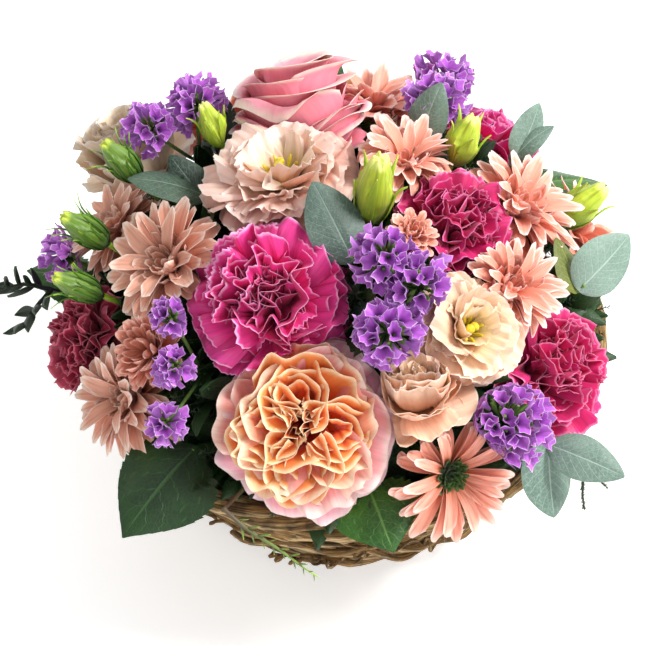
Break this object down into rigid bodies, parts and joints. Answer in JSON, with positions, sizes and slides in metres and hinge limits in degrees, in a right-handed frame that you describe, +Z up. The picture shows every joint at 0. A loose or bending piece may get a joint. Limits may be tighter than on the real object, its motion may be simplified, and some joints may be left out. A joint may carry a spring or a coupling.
{
  "type": "flower basket arrangement",
  "caption": "Round vine basket filled with flower foam and packed with a dome of roses, carnations, lisianthus, chrysanthemums, statice, buds, eucalyptus and leaves.",
  "frame": {"origin": "centre of the flat underside of the basket, on the basket's axis, on the surface it stands on", "axes": "+Z up along the basket's axis; -Y towards the front of the arrangement, where the large garden rose is; +X to the right seen from the front"},
  "size_m": [0.2996, 0.3068, 0.2254],
  "materials": {
    "vine": "rough bark, matt",
    "film": "thin dark film",
    "foam": "soaked flower foam, matt",
    "apricot": "soft petal, apricot centre to pink edge",
    "pink": "soft petal, pink",
    "magenta": "fringed petal, magenta with pale edges",
    "crimson": "fringed petal, dark crimson",
    "blush": "ruffled petal, blush",
    "peach": "strap petal, peach",
    "violet": "papery floret, violet",
    "lime": "closed bud, lime green",
    "sage": "waxy leaf, grey green",
    "leaf": "leaf, dark green, slight gloss",
    "fern": "thin needles, dark green"
  },
  "bodies": {
    "root": {"back_carnation": "magenta", "back_chrysanthemum": "peach", "back_eucalyptus": "sage", "back_leaf": "leaf", "back_rose": "apricot", "back_statice": "violet", "basket_base": "vine", "basket_rim": "vine", "basket_wall": "vine", "blush_lisianthus": "blush", "bronze_chrysanthemum": "peach", "burgundy_carnation": "crimson", "button_chrysanthemum": "peach", "centre_bud": "lime", "centre_eucalyptus": "sage", "centre_statice": "violet", "cream_lisianthus": "blush", "crimson_carnation": "crimson", "crown_chrysanthemum": "peach", "crown_leaves": "leaf", "daisy": "peach", "far_left_statice": "violet", "far_right_chrysanthemum": "peach", "foam": "foam", "front_leaf": "leaf", "front_left_leaf": "leaf", "garden_rose": "apricot", "left_bud": "lime", "left_chrysanthemum": "peach", "left_eucalyptus": "sage", "left_frond": "fern", "left_leaf": "leaf", "left_statice": "violet", "liner": "film", "low_front_frond": "fern", "low_right_eucalyptus": "sage", "low_right_frond": "fern", "lower_left_bud": "lime", "lower_left_chrysanthemum": "peach", "magenta_carnation": "magenta", "open_lisianthus": "blush", "peach_lisianthus": "blush", "pink_carnation": "magenta", "pink_rose": "pink", "right_bud": "lime", "right_chrysanthemum": "peach", "right_eucalyptus": "sage", "right_statice": "violet", "side_chrysanthemum": "peach", "top_bud": "lime", "top_chrysanthemum": "peach", "top_eucalyptus": "sage", "top_left_bud": "lime", "top_left_eucalyptus": "sage", "top_left_statice": "violet", "top_right_statice": "violet", "upper_left_chrysanthemum": "peach", "upper_right_bud": "lime", "upper_right_eucalyptus": "sage"}
  },
  "joints": []
}
